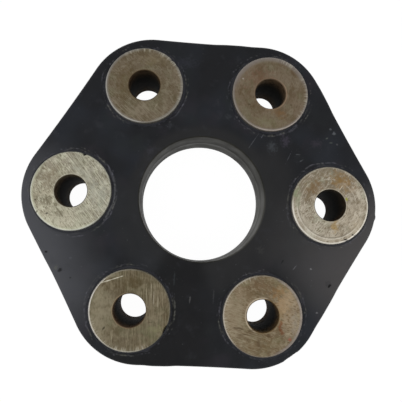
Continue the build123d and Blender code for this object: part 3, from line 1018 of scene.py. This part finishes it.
def pale_floor():
    """Matt white studio board."""
    # To the eye it is plain white, and only keeps the soft shadow under the disc.
    material, tree, output = new_material("matt_white_board")
    place = add(tree, "ShaderNodeTexCoord").outputs["Object"]
    grain = add(tree, "ShaderNodeTexNoise", {"Vector": place, "Scale": 900.0, "Detail": 2.0}).outputs[0]
    relief = add(tree, "ShaderNodeBump", {"Height": grain, "Strength": 0.1, "Distance": 0.05 * MM}).outputs[0]
    board = add(tree, "ShaderNodeBsdfPrincipled", {
        "Base Color": linear("#f2f2f0"), "Roughness": 0.9, "Normal": relief,
        "Specular IOR Level": 0.1}).outputs[0]
    white = add(tree, "ShaderNodeEmission", {"Color": (1, 1, 1, 1), "Strength": 1.03}).outputs[0]
    whiteness = times(tree, sees_background(tree), 0.95)
    seen = add(tree, "ShaderNodeMixShader", {0: whiteness, 1: board, 2: white}).outputs[0]
    tree.links.new(seen, output.inputs[0])
    return material


# Operators

class COUPLING_OT_rubber_disc(bpy.types.Operator):
    """Mould the rubber disc round the bushes"""

    bl_idname = "coupling.rubber_disc"
    bl_label = "Rubber disc"

    def execute(self, context):
        sizes = context.scene.coupling_disc
        bush_sizes = context.scene.coupling_bush
        blister = ((60.4, -36.5), 1.5, 0.5)
        bump = ((-62.6, -35.8), 0.9, -0.2)
        bm = join_halves(half_disc(sizes, bush_sizes, [blister, bump]), half_disc(sizes, bush_sizes, []))
        outline = Outline(sizes)
        for place, reach, depth, lowest in KNOCKS:
            knock(bm, outline, place, reach, depth, lowest)
        shape_rings(bm, sizes, seed=3.0)
        bmesh.ops.translate(bm, vec=(0, 0, BUSH_HALF), verts=bm.verts)
        piece = finished_piece(bm, "rubber_disc", [moulded_rubber(sizes)], "rubber_body", "rubber")
        piece.data.set_sharp_from_angle(angle=math.radians(50))
        return {"FINISHED"}


class COUPLING_OT_bushes(bpy.types.Operator):
    """Turn the six steel bushes, each with its own finish"""

    bl_idname = "coupling.bushes"
    bl_label = "Steel bushes"

    def execute(self, context):
        for number in range(BUSH_COUNT):
            node = f"bush_{number + 1}"
            centre = polar(BUSH_CENTRE, number * PITCH)
            bm = bush_mesh(context.scene.coupling_bush, centre, FINISHES[number].dents)
            steel = [ground_steel(number), bore_with_painted_shade(number)]
            piece = finished_piece(bm, f"turned_{node}", steel, node, "bush_steel")
            piece.data.set_sharp_from_angle(angle=math.radians(25))
        return {"FINISHED"}


class COUPLING_OT_cord_loops(bpy.types.Operator):
    """Give the cord loops inside the rubber their finish"""

    bl_idname = "coupling.cord_loops"
    bl_label = "Cord loops"

    def execute(self, context):
        material = wound_cord()
        loops = [piece for name, piece in frame["nodes"].items() if "cord_loop" in name]
        if not loops:
            raise RuntimeError("the frame holds no cord loops")
        for piece in loops:
            piece.data.materials.clear()
            piece.data.materials.append(material)
        return {"FINISHED"}


class COUPLING_OT_stage(bpy.types.Operator):
    """Set the floor, the lamps, the sky and the camera"""

    bl_idname = "coupling.stage"
    bl_label = "Stage"

    def execute(self, context):
        settings = context.scene.coupling_stage
        self.lay_floor(settings)
        self.hang_lamp("window_lamp", azimuth=207, elevation=52, size=0.75, power=2.6)
        self.hang_lamp("fill_lamp", azimuth=345, elevation=52, size=0.65, power=1.6)
        self.light_sky(context.scene, settings)
        self.place_camera(context.scene, settings)
        context.scene.view_settings.view_transform = "Standard"
        return {"FINISHED"}

    def lay_floor(self, settings):
        """A square board just under the bushes, that isn't part of the coupling."""
        bm = bmesh.new()
        bmesh.ops.create_grid(bm, x_segments=2, y_segments=2, size=settings.floor_size / 2)
        gap = 0.02 * MM
        bmesh.ops.translate(bm, vec=(0, 0, -gap), verts=bm.verts)
        floor = new_object("floor", mesh_of(bm, "floor"))
        floor.data.materials.append(pale_floor())
        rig.stage(floor)

    def hang_lamp(self, name, azimuth, elevation, size, power):
        """A square lamp that points at the disc. Its angles are in degrees."""
        lamp = bpy.data.lights.new(name, "AREA")
        lamp.size = size
        lamp.energy = power
        piece = new_object(name, lamp)
        rise = math.radians(elevation)
        reach, height = LAMP_DISTANCE * math.cos(rise), LAMP_DISTANCE * math.sin(rise)
        piece.location = polar(reach, math.radians(azimuth), height)
        piece.rotation_euler = piece.location.to_track_quat("Z", "Y").to_euler()

    def light_sky(self, scene, settings):
        """Even light from all round, which is plain white where it is seen."""
        world = bpy.data.worlds.new("soft_sky")
        world.use_nodes = True
        tree = world.node_tree
        tree.nodes.clear()
        output = tree.nodes.new("ShaderNodeOutputWorld")
        strength = add(tree, "ShaderNodeMapRange", {
            0: sees_background(tree), 3: settings.sky, 4: 1.0}).outputs[0]
        light = add(tree, "ShaderNodeBackground", {"Color": (1, 1, 1, 1), "Strength": strength}).outputs[0]
        tree.links.new(light, output.inputs[0])
        scene.world = world

    def place_camera(self, scene, settings):
        """The camera, with the lens and the place that the stage's settings give."""
        data = bpy.data.cameras.new("camera")
        data.lens = settings.camera_lens
        data.sensor_width = 36
        data.clip_start = 0.005
        camera = new_object("camera", data)
        camera.location = settings.camera_place
        camera.rotation_euler = settings.camera_turn
        scene.camera = camera


class COUPLING_PT_sidebar(bpy.types.Panel):
    """Sizes of the coupling and buttons that make its pieces"""

    bl_label = "Disc coupling"
    bl_idname = "COUPLING_PT_sidebar"
    bl_space_type = "VIEW_3D"
    bl_region_type = "UI"
    bl_category = "Coupling"

    def draw(self, context):
        for operator, group in (("coupling.rubber_disc", context.scene.coupling_disc),
                                ("coupling.bushes", context.scene.coupling_bush),
                                ("coupling.cord_loops", None),
                                ("coupling.stage", context.scene.coupling_stage)):
            box = self.layout.box()
            box.operator(operator)
            for name in group.bl_rna.properties.keys() if group else ():
                if name not in ("rna_type", "name"):
                    box.prop(group, name)


CLASSES = (DiscSizes, BushSizes, StageSettings, COUPLING_OT_rubber_disc, COUPLING_OT_bushes,
           COUPLING_OT_cord_loops, COUPLING_OT_stage, COUPLING_PT_sidebar)


def register():
    for item in CLASSES:
        bpy.utils.register_class(item)
    bpy.types.Scene.coupling_disc = bpy.props.PointerProperty(type=DiscSizes)
    bpy.types.Scene.coupling_bush = bpy.props.PointerProperty(type=BushSizes)
    bpy.types.Scene.coupling_stage = bpy.props.PointerProperty(type=StageSettings)


def unregister():
    del bpy.types.Scene.coupling_stage
    del bpy.types.Scene.coupling_bush
    del bpy.types.Scene.coupling_disc
    for item in reversed(CLASSES):
        bpy.utils.unregister_class(item)


def main():
    """Make everything in turn, and note the size of the solids and of the finished disc."""
    register()
    bpy.ops.coupling.stage()
    bpy.ops.coupling.rubber_disc()
    bpy.ops.coupling.bushes()
    bpy.ops.coupling.cord_loops()
    low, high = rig.bounds()
    with open("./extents.json", "w") as file:
        json.dump({"cad": [list(cad_low), list(cad_high)], "visual": [list(low), list(high)]}, file)


if __name__ == "__main__":
    main()
